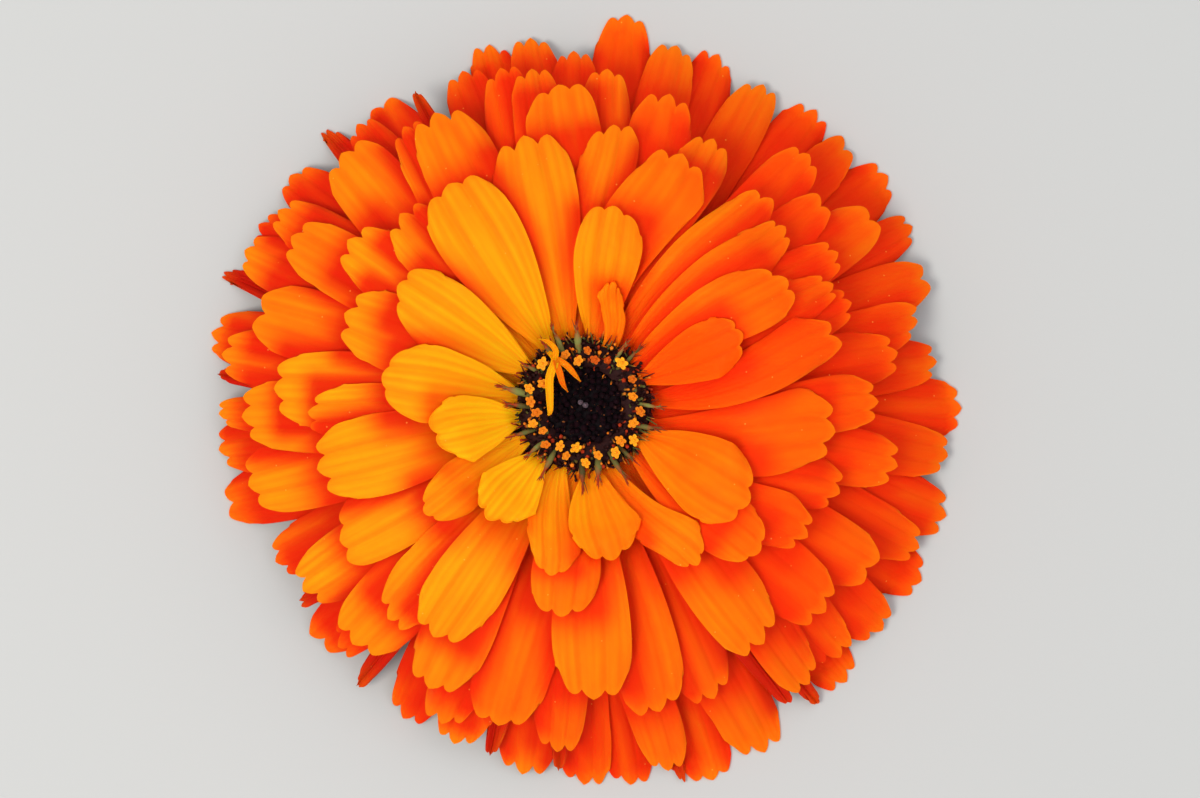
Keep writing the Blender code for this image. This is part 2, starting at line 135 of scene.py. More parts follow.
def layer_height(radius, layer):
    """Height of a layer's dome at this distance from the axis."""
    inward = np.maximum(0, (CROWN_RADIUS - radius) / (CROWN_RADIUS - ROOT_RADIUS))
    outward = np.clip((radius - CROWN_RADIUS) / (SKIRT_RADIUS - CROWN_RADIUS), 0, 1)
    lowest = CROWN_HEIGHT - ROOT_DIP * inward**2 - (CROWN_HEIGHT - SKIRT_HEIGHT) * outward**DROOP
    growth = ease((radius - ROOT_RADIUS) / (FULL_PITCH_RADIUS - ROOT_RADIUS))
    return lowest + layer * (ROOT_PITCH + (BLADE_PITCH - ROOT_PITCH) * growth)


def azimuth_at(floret, radius):
    share = (radius - floret.root) / (floret.reach - floret.root)
    lean = (floret.tip_azimuth - floret.base_azimuth + 180) % 360 - 180
    return floret.base_azimuth + lean * ease(share)


def half_width_at(floret, radius):
    """A narrow claw that widens to the blade and narrows a little to the toothed end."""
    claw_end = floret.root + STRIP_DEPTH
    widest = floret.root + WIDEST_AT * (floret.reach - floret.root)
    swell = np.sin(math.pi / 2 * np.clip((radius - claw_end) / (widest - claw_end), 0, 1)) ** BLADE_SWELL
    narrowing = 1 - END_NARROWING * np.clip((radius - widest) / (floret.reach - widest), 0, 1) ** 2
    return (floret.claw + (floret.half_width - floret.claw) * swell) * narrowing


def blade_half_width(floret, radius):
    """The fine blade: broader than the frame's, on a broader claw, so that neighbours overlap."""
    claw_end = floret.root + STRIP_DEPTH
    widest = floret.root + WIDEST_AT * (floret.reach - floret.root)
    swell = np.sin(math.pi / 2 * np.clip((radius - claw_end) / (widest - claw_end), 0, 1)) ** FINE_SWELL
    claw = floret.claw * CLAW_BREADTH
    return claw + (floret.half_width * BLADE_BREADTH - claw) * swell


def spread_apart(azimuths, least):
    """Moves neighbouring roots apart until each pair is at least this many degrees apart."""
    placed = np.array(azimuths, float)
    for _ in range(SPREADING_ROUNDS):
        gaps = np.append(placed[1:], placed[0] + 360) - placed
        push = np.maximum(0, least - gaps) / 2
        placed += np.roll(push, 1) - push
    return placed


def covers(a, b):
    """Whether two florets would lie over each other anywhere outside their roots."""
    start = max(a.root, b.root) + STRIP_DEPTH + RISE_DEPTH / 2
    radii = np.linspace(start, min(a.reach, b.reach), SAMPLES_ALONG)
    apart = (azimuth_at(a, radii) - azimuth_at(b, radii) + 180) % 360 - 180
    side = np.abs(np.radians(apart)) * radii
    return bool((side < half_width_at(a, radii) + half_width_at(b, radii) + SEAT_GAP).any())


def layered_florets(whorl, lowest_layer):
    """The whorl's florets in order round the head. A longer one lies under the ones it meets."""
    rows = sorted(whorl.florets)
    bases = spread_apart([row[3] if len(row) > 3 else row[0] for row in rows], whorl.least_pitch)
    florets = [
        Floret(row[0], base, row[1], math.radians(row[2]) * row[1] * HALF_SPAN, whorl.root, whorl.claw, None)
        for row, base in zip(rows, bases)
    ]
    placed = []
    for index in sorted(range(len(florets)), key=lambda i: -florets[i].reach):
        under = [other.layer for other in placed if covers(florets[index], other)]
        florets[index] = florets[index]._replace(layer=max(under, default=lowest_layer - 1) + 1)
        placed.append(florets[index])
    return florets


def tucked_share(radius, azimuth, floret, others):
    """Painted shade: how deeply each point of a floret lies under the others, 0 in the open, 1 well under
    them.
    """
    share = np.zeros(np.broadcast_shapes(radius.shape, azimuth.shape))
    for other in others:
        lift = other.layer - floret.layer
        if lift <= 0:
            continue
        apart = (np.degrees(azimuth) - azimuth_at(other, radius) + 180) % 360 - 180
        beside = np.maximum(0, np.abs(np.radians(apart)) * radius - blade_half_width(other, radius))
        beyond = np.maximum(0, radius - other.reach + PAINTED_SHADE_BEYOND_END)
        away = np.hypot(beside, beyond)
        share = np.maximum(share, np.exp(-((away / (PAINTED_SHADE_SPREAD + PAINTED_SHADE_PER_LAYER * lift)) ** 2)))
    return share


# ---- Mesh making ----


class Surface:
    """Gathers grids of points, in millimetres about the axis, with numbers marked on each point."""

    def __init__(self, *marks):
        self.points, self.faces, self.marks = [], [], {name: [] for name in marks}
        self.count = 0

    def add(self, grid, closed=False, **marks):
        """Adds a grid of rows by columns of points. A closed one joins its last column to its first."""
        rows, columns = grid.shape[:2]
        first = self.count
        self.points.append(grid.reshape(-1, 3))
        for name, gathered in self.marks.items():
            gathered.append(np.broadcast_to(marks[name], (rows, columns)).reshape(-1))
        for row in range(rows - 1):
            for column in range(columns if closed else columns - 1):
                beside = (column + 1) % columns
                near, far = first + row * columns, first + (row + 1) * columns
                self.faces.append((near + column, far + column, far + beside, near + beside))
        self.count += rows * columns

    def made(self, name, finishes, thickness=None, side=1):
        """The object. A thin sheet is solidified, and the shading breaks at its outline."""
        mesh = bpy.data.meshes.new(name)
        points = (np.concatenate(self.points) + (AXIS_X, AXIS_Y, 0)) * MM
        mesh.from_pydata(points.tolist(), [], self.faces)
        for mark, gathered in self.marks.items():
            values = mesh.attributes.new(mark, "FLOAT", "POINT")
            values.data.foreach_set("value", np.concatenate(gathered).astype(np.float32))
        for finish in finishes:
            mesh.materials.append(finish)
        mesh.shade_smooth()
        obj = bpy.data.objects.new(name, mesh)
        bpy.context.scene.collection.objects.link(obj)
        if thickness:
            edges = np.zeros(len(mesh.loops), np.int32)
            mesh.loops.foreach_get("edge_index", edges)
            border = np.bincount(edges, minlength=len(mesh.edges)) == 1
            mesh.attributes.new("sharp_edge", "BOOLEAN", "EDGE").data.foreach_set("value", border)
            solid = obj.modifiers.new("Thickness", "SOLIDIFY")
            solid.thickness = thickness * MM
            solid.offset = side
            solid.material_offset = len(finishes) - 1
        return obj


def place(obj, slot, *nodes):
    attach(obj, "root")
    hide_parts(*nodes)


def at(radius, azimuth, height):
    return np.array((radius * math.cos(azimuth), radius * math.sin(azimuth), height))


# ---- Finishes ----


class Value:
    """A number that varies over a surface. Arithmetic on it adds Math nodes."""

    def __init__(self, tree, socket):
        self.tree, self.socket = tree, socket

    def math(self, operation, *others):
        node = self.tree.nodes.new("ShaderNodeMath")
        node.operation = operation
        for slot, value in zip(node.inputs, others):
            if isinstance(value, Value):
                self.tree.links.new(value.socket, slot)
            else:
                slot.default_value = value
        return Value(self.tree, node.outputs[0])

    def __add__(self, other):
        return self.math("ADD", self, other)

    def __sub__(self, other):
        return self.math("SUBTRACT", self, other)

    def __rsub__(self, other):
        return self.math("SUBTRACT", other, self)

    def __mul__(self, other):
        return self.math("MULTIPLY", self, other)

    def __truediv__(self, other):
        return self.math("DIVIDE", self, other)

    __radd__, __rmul__ = __add__, __mul__

    def sine(self):
        return self.math("SINE", self)

    def absolute(self):
        return self.math("ABSOLUTE", self)

    def at_least(self, other):
        return self.math("MAXIMUM", self, other)

    def at_most(self, other):
        return self.math("MINIMUM", self, other)

    def clamped(self):
        return self.at_least(0.0).at_most(1.0)


class Finish:
    """A material with one Principled shader, built up from values over the surface."""

    def __init__(self, name, **fixed):
        self.material = bpy.data.materials.new(name)
        self.material.use_nodes = True
        self.tree = self.material.node_tree
        self.shader = self.tree.nodes["Principled BSDF"]
        for socket, value in fixed.items():
            self.shader.inputs[socket.replace("_", " ")].default_value = value

    def node(self, kind, output=0, settings=None, **inputs):
        node = self.tree.nodes.new("ShaderNode" + kind)
        for name, value in (settings or {}).items():
            setattr(node, name, value)
        for name, value in inputs.items():
            self.feed(node.inputs[int(name[1:]) if name[0] == "_" else name.replace("_", " ")], value)
        return Value(self.tree, node.outputs[output])

    def feed(self, socket, value):
        if isinstance(value, Value):
            self.tree.links.new(value.socket, socket)
        else:
            socket.default_value = value

    def mark(self, name):
        return self.node("Attribute", "Fac", {"attribute_name": name})

    def vector(self, x, y, z):
        return self.node("CombineXYZ", X=x, Y=y, Z=z)

    def noise(self, scale, detail, where):
        return self.node("TexNoise", "Fac", Scale=scale, Detail=detail, Vector=where)

    def place(self):
        return self.node("TexCoord", "Object")

    def mix(self, share, first, second):
        """first where share is 0 and second where it is 1."""
        settings = {"data_type": "RGBA", "clamp_factor": True}
        return self.node("Mix", 2, settings, _0=share, _6=first, _7=second)

    def wear(self, color=None, roughness=None, height=None, depth=0.0):
        if color is not None:
            self.feed(self.shader.inputs["Base Color"], color)
        if roughness is not None:
            self.feed(self.shader.inputs["Roughness"], roughness)
        if height is not None:
            bump = self.node("Bump", "Normal", Height=height, Distance=depth * MM, Strength=1.0)
            self.feed(self.shader.inputs["Normal"], bump)
        return self.material


def rgb(red, green, blue):
    """A colour in linear light, for a socket."""
    return (red, green, blue, 1.0)


SCARLET, DEEP_ORANGE, ORANGE = rgb(0.70, 0.004, 0.001), rgb(0.98, 0.034, 0.001), rgb(1.0, 0.080, 0.001)
AMBER, GOLD, DEEP_GOLD = rgb(1.0, 0.20, 0.002), rgb(1.0, 0.34, 0.003), rgb(1.0, 0.47, 0.004)
MAHOGANY, BRICK = rgb(0.40, 0.004, 0.002), rgb(0.75, 0.05, 0.003)


# Across a blade, from -1 to 1: the pitch of its veins, and the two long grooves between its three lobes.
VEIN_SPACING, GROOVE_AT, GROOVE_WIDTH = 28.3, 0.333, 0.14
POLLEN_SCALE, POLLEN_SIZE = 600.0, 0.06


def petal_finish(name, reverse):
    """Silky orange tissue: gold in the open and painted lighter on the sunlit side, scarlet as painted shade
    where it lies under its neighbours, with fine long veins.
    """
    finish = Finish(
        name, Subsurface_Weight=0.5, Subsurface_Radius=(1.0, 0.15, 0.02), Subsurface_Scale=0.0008,
        Specular_IOR_Level=0.04,
    )
    across, along, shade = finish.mark("across"), finish.mark("along"), finish.mark("shade")
    sunny, folded, tucked = finish.mark("sunny"), finish.mark("folded"), finish.mark("tucked")
    outward = finish.mark("outward")
    core = finish.mark("core")
    streaks = finish.noise(1.0, 3.0, finish.vector(across * 7.0 + shade * 31.0, along * 1.6, shade * 17.0))
    drift = finish.noise(1.0, 2.0, finish.vector(across * 1.2, along * 3.0, shade * 23.0))
    veins = ((across + streaks * 0.05) * VEIN_SPACING).sine() * 0.5 + 0.5
    groove = (1.0 - (across.absolute() - GROOVE_AT).absolute() / GROOVE_WIDTH).clamped()
    margin = ((across.absolute() - 0.8) / 0.2).clamped()
    rim = ((along - 0.95) / 0.05).clamped()
    # Painted light: the tone is lighter towards the side the light comes from, less so further out.
    tone = sunny * (1.0 - outward * 0.35) + (shade - 0.5) * 0.4 + (drift - 0.5) * 0.5 + 0.05
    # Golden core: the inner florets' bases are golden, and painted as lit only on the side towards the
    # light.
    tone = tone + core * 0.4 - outward * 0.1
    body = finish.mix(tone.clamped(), ORANGE, finish.mix(core, GOLD, DEEP_GOLD))
    body = finish.mix(((streaks - 0.25) * 1.3 + (veins - 0.5) * 0.35).clamped() * 0.5, body, ORANGE)
    # Painted shade: the two long grooves are darkened as shade in a crease, less so in the core.
    body = finish.mix(groove * (0.28 - core * 0.15), body, DEEP_ORANGE)
    # Painted shade: scarlet where a floret lies under its neighbours, deeper on the painted sunlit side and
    # weaker in the core.
    under = (tucked * (1.0 - core * 0.75)).clamped()
    body = finish.mix(under * 0.94, body, finish.mix(under * (0.35 + sunny * 0.65), DEEP_ORANGE, SCARLET))
    body = finish.mix(((margin * 0.2 + rim * 0.5) * (1.0 - tucked)).clamped(), body, AMBER)
    cells = finish.node("TexVoronoi", "Distance", Scale=POLLEN_SCALE, Vector=finish.place())
    pollen = (1.0 - cells / POLLEN_SIZE).clamped()
    body = finish.mix(pollen * 0.7, body, rgb(1.0, 0.55, 0.10))
    body = finish.mix(folded * (0.35 + drift * 0.6), body, MAHOGANY)
    if reverse:
        fading = (streaks * 0.9 + along * 0.3 - 0.2).clamped()
        pale = finish.mix(fading, rgb(0.95, 0.12, 0.006), rgb(1.0, 0.26, 0.02))
        pale = finish.mix((veins - 0.6).clamped() * 0.9, pale, BRICK)
        body = finish.mix(0.85 - folded * 0.75, body, pale)
    height = veins * 0.35 + streaks * 0.6 - groove * 0.5
    return finish.wear(body, 0.6 + drift * 0.2, height, 0.05)


def bud_finish():
    """Near-black purple with a dust of pollen, and a painted pale highlight on the middle buds."""
    finish = Finish("closed_bud_purple", Specular_IOR_Level=0.12)
    where, shade = finish.place(), finish.mark("shade")
    grain = finish.noise(5200.0, 3.0, where)
    dust = ((finish.noise(2600.0, 1.0, where) - 0.7) * 14.0).clamped()
    lighter = (grain * 0.8 + shade * 0.4 - 0.3).clamped()
    body = finish.mix(lighter, rgb(0.002, 0.0004, 0.0012), rgb(0.018, 0.0015, 0.006))
    body = finish.mix(dust * 0.7, body, rgb(0.55, 0.16, 0.04))
    # Painted highlight: a pale spot on the middle buds that are marked pale.
    body = finish.mix(finish.mark("pale") * grain * grain, body, rgb(0.40, 0.30, 0.36))
    return finish.wear(body, 0.5 + grain * 0.4, grain, 0.05)


def star_finish():
    """A brown tube with golden or rusty lobes, blotched with rust."""
    finish = Finish(
        "open_floret_gold", Subsurface_Weight=0.15, Subsurface_Radius=(1.0, 0.4, 0.05),
        Subsurface_Scale=0.0003, Specular_IOR_Level=0.1,
    )
    shade, height = finish.mark("shade"), finish.mark("height")
    grain = finish.noise(3800.0, 2.0, finish.place())
    tube = finish.mix(grain, rgb(0.10, 0.05, 0.015), rgb(0.30, 0.10, 0.02))
    lobe = finish.mix(shade, rgb(0.55, 0.05, 0.004), rgb(1.0, 0.42, 0.012))
    lobe = finish.mix(((grain - 0.35) * 1.6).clamped() * 0.5, lobe, rgb(0.55, 0.07, 0.004))
    return finish.wear(finish.mix(((height - 0.55) * 4.0).clamped(), tube, lobe), 0.55, grain, 0.05)


RUSTY_FROM, OLIVE_FROM, AMBER_FROM, SHADE_STEP = 0.45, 0.68, 0.82, 25.0


def bed_finish():
    """Withered florets: most near-black, others rusty at the end, olive or amber, as their shade tells."""
    finish = Finish("spent_floret_brown", Specular_IOR_Level=0.15)
    shade, along = finish.mark("shade"), finish.mark("along")
    grain = finish.noise(3600.0, 3.0, finish.place())
    dark = finish.mix(grain, rgb(0.010, 0.002, 0.003), rgb(0.045, 0.010, 0.008))
    rust = finish.mix(grain, rgb(0.16, 0.010, 0.003), rgb(0.60, 0.050, 0.006))
    olive = finish.mix(grain, rgb(0.05, 0.06, 0.012), rgb(0.15, 0.15, 0.035))
    amber = finish.mix(grain, rgb(0.65, 0.10, 0.006), rgb(0.95, 0.32, 0.015))
    end = (along * 1.8 - 0.5).clamped()
    body = finish.mix(((shade - RUSTY_FROM) * SHADE_STEP).clamped() * end, dark, rust)
    body = finish.mix(((shade - OLIVE_FROM) * SHADE_STEP).clamped(), body, olive)
    body = finish.mix(((shade - AMBER_FROM) * SHADE_STEP).clamped() * end, body, amber)
    return finish.wear(body, 0.7, grain, 0.06)


def pistil_finish():
    """Olive green specked with rust, with a dark red end."""
    finish = Finish("pistil_green_brown", Specular_IOR_Level=0.2)
    along, shade = finish.mark("along"), finish.mark("shade")
    grain = finish.noise(2400.0, 2.0, finish.place())
    foot = finish.mix(shade, rgb(0.07, 0.06, 0.015), rgb(0.22, 0.24, 0.06))
    foot = finish.mix(((grain - 0.5) * 3.0).clamped() * 0.6, foot, rgb(0.30, 0.07, 0.012))
    end = finish.mix(grain, rgb(0.16, 0.010, 0.004), rgb(0.55, 0.05, 0.008))
    body = finish.mix(((along - 0.5) * 3.5 + grain * 0.5).clamped(), foot, end)
    return finish.wear(body, 0.6, grain, 0.04)


def bract_finish(name, dark, light):
    """Leafy green with a paler margin and midrib and a felt of short hairs."""
    finish = Finish(
        name, Subsurface_Weight=0.1, Subsurface_Radius=(0.3, 1.0, 0.1),
        Subsurface_Scale=0.0004, Sheen_Weight=0.3,
    )
    across, along = finish.mark("across"), finish.mark("along")
    where = finish.place()
    mottle, felt = finish.noise(420.0, 3.0, where), finish.noise(6500.0, 2.0, where)
    margin = ((across.absolute() - 0.72) / 0.28).clamped()
    midrib = (1.0 - across.absolute() / 0.12).clamped()
    body = finish.mix((mottle * 1.3 - 0.15).clamped(), dark, light)
    body = finish.mix(margin * 0.5 + midrib * 0.35, body, rgb(0.42, 0.50, 0.20))
    body = finish.mix(((along - 0.9) * 8.0).clamped() * 0.6, body, rgb(0.28, 0.07, 0.03))
    return finish.wear(body, 0.6 + felt * 0.2, felt * 0.6 + midrib * 0.6, 0.08)


CUT_DEPTH = 0.12
SHADOW_FROM, SHADOW_DEPTH = 8.5, 2.0


def stem_finish():
    """Ribbed green stem with a felt of hairs, and the pale wet pith of the cut end."""
    finish = Finish("cut_stem_green", Sheen_Weight=0.3)
    where = finish.place()
    mottle, felt = finish.noise(500.0, 3.0, where), finish.noise(6000.0, 2.0, where)
    up = finish.node("SeparateXYZ", "Z", Vector=where)
    cut = (1.0 - up / (CUT_DEPTH * MM)).clamped()
    skin = finish.mix(mottle, rgb(0.13, 0.24, 0.05), rgb(0.24, 0.38, 0.10))
    pith = finish.mix(felt, rgb(0.42, 0.50, 0.22), rgb(0.60, 0.64, 0.38))
    return finish.wear(finish.mix(cut, skin, pith), 0.62 - cut * 0.2, felt + mottle * 0.5, 0.08)


def receptacle_finish():
    """Pale pitted green, dark between the roots of the florets."""
    finish = Finish("receptacle_pale_green")
    where = finish.place()
    mottle = finish.noise(700.0, 4.0, where)
    pits = finish.node("TexVoronoi", "Distance", Scale=1500.0, Vector=where)
    body = finish.mix(mottle, rgb(0.20, 0.26, 0.08), rgb(0.42, 0.46, 0.20))
    body = finish.mix((pits * 1.4 - 0.2).clamped(), rgb(0.13, 0.12, 0.04), body)
    up = finish.node("SeparateXYZ", "Z", Vector=where)
    shadowed = ((up - SHADOW_FROM * MM) / (SHADOW_DEPTH * MM)).clamped()
    return finish.wear(finish.mix(shadowed, body, rgb(0.03, 0.012, 0.006)), 0.7, pits, 0.1)


# ---- Pieces ----


TWO_TOOTHED = 0.12


class Pile:
    """The height of what already lies there, on a fine square grid: each floret rests on the ones before."""

    REACH, CELL, CLEARANCE = 45.0, 0.25, 0.04
    SWEEPS, SWEEP_HOLD, SMOOTHINGS = 14, 0.97, 4
    POINTS_PER_CELL = 4

    def __init__(self):
        cells = int(2 * self.REACH / self.CELL)
        self.top = np.full((cells, cells), -1.0)

    def cells_at(self, x, y):
        return tuple(((side + self.REACH) / self.CELL).astype(int) for side in (x, y))

    def lifted(self, x, y, z):
        """The sheet's heights, raised in one smooth sweep wherever it would sink into the pile."""

        def beside(grid):
            padded = np.pad(grid, 1, mode="edge")
            return np.stack([padded[:-2, 1:-1], padded[2:, 1:-1], padded[1:-1, :-2], padded[1:-1, 2:]])

        column, row = self.cells_at(x, y)
        near = [self.top[column + i, row + j] for i in (-1, 0, 1) for j in (-1, 0, 1)]
        need = np.maximum(0, np.max(near, axis=0) + self.CLEARANCE - z)
        need = np.maximum(need, beside(need).max(axis=0))
        lift = need
        for _ in range(self.SWEEPS):
            around = beside(lift).mean(axis=0)
            lift = np.maximum(need, self.SWEEP_HOLD * around + (1 - self.SWEEP_HOLD) * lift)
        for _ in range(self.SMOOTHINGS):
            lift = (lift + beside(lift).mean(axis=0)) / 2
        return z + lift

    def lay(self, x, y, z):
        """Adds a sheet to the pile, from points closer together than the cells."""
        fine = [np.linspace(0, size - 1, self.POINTS_PER_CELL * size) for size in x.shape]
        rows, columns = (steps.astype(int).clip(0, size - 2) for steps, size in zip(fine, x.shape))
        up, over = (fine[0] - rows)[:, None], (fine[1] - columns)[None, :]

        def between(grid):
            near, far = grid[rows], grid[rows + 1]
            low = near[:, columns] * (1 - over) + near[:, columns + 1] * over
            high = far[:, columns] * (1 - over) + far[:, columns + 1] * over
            return low * (1 - up) + high * up

        np.maximum.at(self.top, self.cells_at(between(x), between(y)), between(z) + FLORET_THICKNESS)


def toothed_end(v, inner, half_width, chance):
    """How far the end falls short of the floret's reach across its breadth, and its lobes' arches."""
    notch_scale, corner_scale, roundness = (0.55, 1.1, 0.8) if inner else (1.0, 1.0, 0.25)
    notch_depth = min(chance.uniform(0.7, 1.3) * notch_scale, 0.4 * half_width)
    teeth = 2 if chance.random() < TWO_TOOTHED else 3
    corner = min(chance.uniform(1.2, 2.2) * corner_scale, half_width)
    skew = chance.normal(0.0, 0.4)
    lobe = np.abs(np.sin(teeth * math.pi / 2 * (v + 1)))
    pointed_arch = (2 / math.pi * np.arcsin(lobe)) ** 0.6
    tooth = pointed_arch + (lobe**0.7 - pointed_arch) * roundness
    rounding = 1.25 * (1 - np.sqrt(1 - 0.96 * v**2)) if inner else v**4
    notches = notch_depth * (1 - tooth) * (1 - 0.5 * v**4)
    return notches + corner * rounding + 0.5 * v**2 + skew * v, lobe


def floret_sheet(floret, strip_layer, others, pile, chance):
    """One ray floret: claw, gently cambered blade with long ridges, and an end with rounded lobes."""
    folded = floret.root == WHORLS[0].root and floret.tip_azimuth in FOLDED_TIPS
    inner = floret.reach < SHORT_FLORET
    end_from, ridge_height = (0.45, 0.11) if inner else (0.6, 0.08)
    droop = chance.normal(1.0, 0.4)
    tilt = chance.normal(0.0, 0.06)
    camber = chance.normal(0.35, 0.25)
    ripple, phase = chance.uniform(0.05, 0.16), chance.uniform(0, 2 * math.pi)
    u = np.linspace(0, 1, LENGTH_CELLS + 1)[:, None] ** DENSER_AT_END
    v = np.sin(np.linspace(-math.pi / 2, math.pi / 2, WIDTH_CELLS + 1))[None, :]
    shortening, lobe = toothed_end(v, inner, floret.half_width, chance)
    shade = chance.random()

    near_end = np.clip((u - end_from) / (1 - end_from), 0, 1) ** 1.5
    middle = floret.root + (floret.reach - floret.root) * u
    along = middle - shortening * near_end
    width = blade_half_width(floret, middle) * (1 - 0.13 * near_end**2)
    if folded:
        width = width * (1 - 0.35 * near_end)
    azimuth = np.radians(azimuth_at(floret, middle))
    across = v * width
    x = along * np.cos(azimuth) - across * np.sin(azimuth)
    y = along * np.sin(azimuth) + across * np.cos(azimuth)
    radius, place_azimuth = np.hypot(x, y), np.arctan2(y, x)

    climb = ease((middle - floret.root - STRIP_DEPTH) / RISE_DEPTH)
    layer = strip_layer + (floret.layer - strip_layer) * climb
    ridges = (ridge_height * lobe**2 + 0.025 * np.cos(5 * math.pi * v + phase)) * ease(u / 0.4)
    arch = -camber * ease((u - 0.35) / 0.5) * v**2
    gutter = 0.22 * ease(u / 0.15) * (1 - ease((u - 0.3) / 0.3)) * v**2
    curl = -droop * ease((u - 0.62) / 0.38) ** 1.5
    sway = ripple * np.sin(phase + u * 9.0 + v * 1.3) * ease(u / 0.5)
    fold = 1.1 * np.abs(v) * ease((u - 0.4) / 0.4) if folded else 0.0
    lean = tilt * across * ease((u - 0.2) / 0.4)
    z = layer_height(radius, layer) + ridges + arch + gutter + curl + sway + fold + lean
    z = pile.lifted(x, y, np.maximum(z, LEAST_HEIGHT))
    pile.lay(x, y, z)

    def towards(azimuth_of_centre):
        return 0.5 + 0.5 * np.cos(place_azimuth - math.radians(azimuth_of_centre))

    marks = {
        "across": v,
        "along": u,
        "shade": shade,
        "folded": 1.0 if folded else 0.0,
        # Painted light: lighter towards one side of the head.
        "sunny": towards(PAINTED_SUNLIGHT_AZIMUTH),
        # Painted shade under the florets that lie above.
        "tucked": tucked_share(radius, place_azimuth, floret, others),
        "outward": ease((radius - OUTWARD_RADIUS) / OUTWARD_FADE),
        # Golden core near the disc, painted as lit towards one side.
        "core": (1 - ease((radius - CORE_RADIUS) / CORE_FADE)) * towards(CORE_PAINTED_LIGHT_AZIMUTH),
    }
    return np.stack([x, y, z], axis=-1), marks


def ray_florets(finishes):
    """Every whorl, laid floret by floret from the lowest layer up. Returns the first layer above them."""
    laid, lowest_layer = [], 0
    for whorl in WHORLS:
        florets = layered_florets(whorl, lowest_layer)
        highest = max(floret.layer for floret in florets)
        strip_layer = (lowest_layer + highest) / 2
        laid += [(whorl, number, floret, strip_layer) for number, floret in enumerate(florets)]
        lowest_layer = highest + 1
    every_floret = [floret for _, _, floret, _ in laid]
    pile, sheets = Pile(), {}
    for whorl, number, floret, strip_layer in sorted(laid, key=lambda entry: entry[2].layer):
        chance = np.random.default_rng([WHORLS.index(whorl), number])
        sheets[whorl.name, number] = floret_sheet(floret, strip_layer, every_floret, pile, chance)
    for whorl in WHORLS:
        for group, members in enumerate(np.array_split(np.arange(len(whorl.florets)), whorl.groups), 1):
            node = f"{whorl.name}_{group:02d}"
            surface = Surface(*PETAL_MARKS)
            for number in members:
                grid, marks = sheets[whorl.name, number]
                surface.add(grid, **marks)
            place(surface.made(f"fine_{node}", finishes, FLORET_THICKNESS), whorl.slot, node)
    return lowest_layer, strip_layer


BRACTS_PER_ROW, BRACT_THICKNESS, BRACT_ROW_GAP = 13, 0.26, 0.85
BRACT_LENGTH_CELLS, BRACT_WIDTH_CELLS = 30, 8
CUP_PROFILE = ((2.7, 3.0), (3.5, 3.1), (5.4, 3.6), (7.6, 5.0), (9.4, 7.2), (11.6, 8.5), (14.6, 8.9))
BRACT_HALF_WIDTHS = (0.5, 0.6, 1.05, 1.6, 1.85, 1.5, 0.08)


def smooth_run(stops, share):
    """Smooth values along a run of evenly numbered stops, by Catmull-Rom."""
    stops = np.asarray(stops, float)
    padded = np.vstack([2 * stops[0] - stops[1], stops, 2 * stops[-1] - stops[-2]])
    place_in = np.clip(share, 0, 1) * (len(stops) - 1)
    index = np.minimum(place_in.astype(int), len(stops) - 2)
    t = (place_in - index)[:, None]
    a, b, c, d = (padded[index + k] for k in range(4))
    return 0.5 * (2 * b + (c - a) * t + (2 * a - 5 * b + 4 * c - d) * t**2 + (3 * b - a - 3 * c + d) * t**3)


def bract_row(name, turn, drop, finish, chance):
    """One ring of narrow bracts that hug the cup, each keeled below and swaying a little."""
    surface = Surface("across", "along")
    u = np.linspace(0, 1, BRACT_LENGTH_CELLS + 1)
    stops = [(*point, half) for point, half in zip(CUP_PROFILE, BRACT_HALF_WIDTHS)]
    radius, height, width = smooth_run(stops, u).T[:, :, None]
    v = np.linspace(-1, 1, BRACT_WIDTH_CELLS + 1)[None, :]
    for number in range(BRACTS_PER_ROW):
        azimuth = 2 * math.pi * (number + turn) / BRACTS_PER_ROW
        sway = chance.normal(0, 0.03) * u[:, None] ** 2
        side = v * np.maximum(width, 0.05)
        turned = azimuth + sway
        x = radius * np.cos(turned) - side * np.sin(turned)
        y = radius * np.sin(turned) + side * np.cos(turned)
        keel = 0.16 * (1 - np.abs(v)) * ease(u[:, None] / 0.3)
        z = height - drop - keel + 0.1 * np.sin(u[:, None] * 7 + number * 2.1)
        surface.add(np.stack(np.broadcast_arrays(x, y, z), axis=-1), across=v, along=u[:, None])
    place(surface.made(f"fine_{name}", [finish], BRACT_THICKNESS, -1), "bract", name)


GOLDEN_ANGLE = math.pi * (3 - math.sqrt(5))
CLOSED_FLORETS, CLOSED_SPACING, PAINTED_HIGHLIGHT_FLORETS = 112, 0.36, 2
PLATE_RADIUS, PLATE_HEIGHT, PLATE_SINK = 3.9, 0.75, 0.02

# Azimuth, radius and shade of each open disc floret, from rusty at 0 to golden at 1.
OPEN_STARS = (
    (10, 4.8, 0.7), (28, 5.4, 0.3), (48, 5.6, 1.0), (62, 4.9, 0.1), (76, 4.6, 0.15), (86, 5.3, 0.3),
    (97, 4.4, 0.7), (110, 5.3, 0.5), (135, 5.7, 0.9), (152, 4.5, 0.7), (163, 5.6, 0.8), (176, 5.2, 0.5),
    (189, 4.7, 0.4), (200, 5.3, 0.8), (212, 4.8, 0.5), (226, 5.4, 0.4), (240, 4.6, 0.8), (251, 5.3, 0.6),
    (260, 4.3, 1.0), (272, 5.6, 0.9), (286, 5.0, 0.7), (304, 5.6, 0.9), (316, 5.0, 0.6), (325, 5.9, 1.0),
    (340, 5.1, 0.7), (354, 5.6, 0.4),
)
